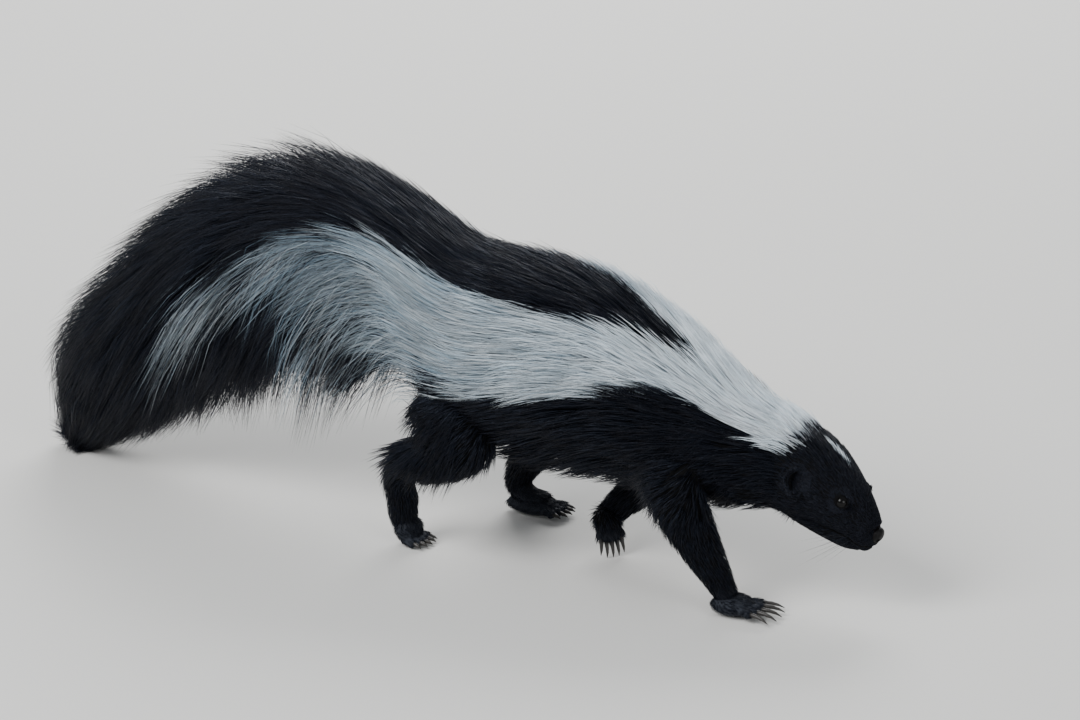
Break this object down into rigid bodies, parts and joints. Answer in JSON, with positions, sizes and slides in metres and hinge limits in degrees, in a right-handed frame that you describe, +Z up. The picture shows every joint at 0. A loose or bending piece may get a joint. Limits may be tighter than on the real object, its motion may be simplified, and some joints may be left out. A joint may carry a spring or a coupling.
{
  "type": "striped skunk",
  "caption": "Life-size still model of a striped skunk walking with its nose to the ground and its bushy tail arched behind it.",
  "frame": {"origin": "on the floor, below the middle of the whole animal's box", "axes": "+X forward, towards the nose; +Y to the animal's left side; +Z up"},
  "size_m": [0.6036, 0.1364, 0.2337],
  "materials": {
    "striped_fur": "long glossy black fur with two white stripes",
    "black_fur": "short glossy black fur",
    "eye": "wet dark brown-black eye",
    "nose_skin": "moist pebbled skin",
    "paw": "very short fur, bare soles and horn claws"
  },
  "bodies": {
    "root": {"head": "striped_fur", "neck": "striped_fur", "torso": "striped_fur", "tail_base": "striped_fur", "tail_middle": "striped_fur", "tail_end": "striped_fur", "ear_right": "black_fur", "ear_left": "black_fur", "eye_right": "eye", "eye_left": "eye", "nose": "nose_skin", "foreleg_right": "black_fur", "foreleg_left": "black_fur", "hindleg_right": "black_fur", "hindleg_left": "black_fur", "forepaw_right": "paw", "forepaw_left": "paw", "hindpaw_right": "paw", "hindpaw_left": "paw"}
  },
  "joints": []
}
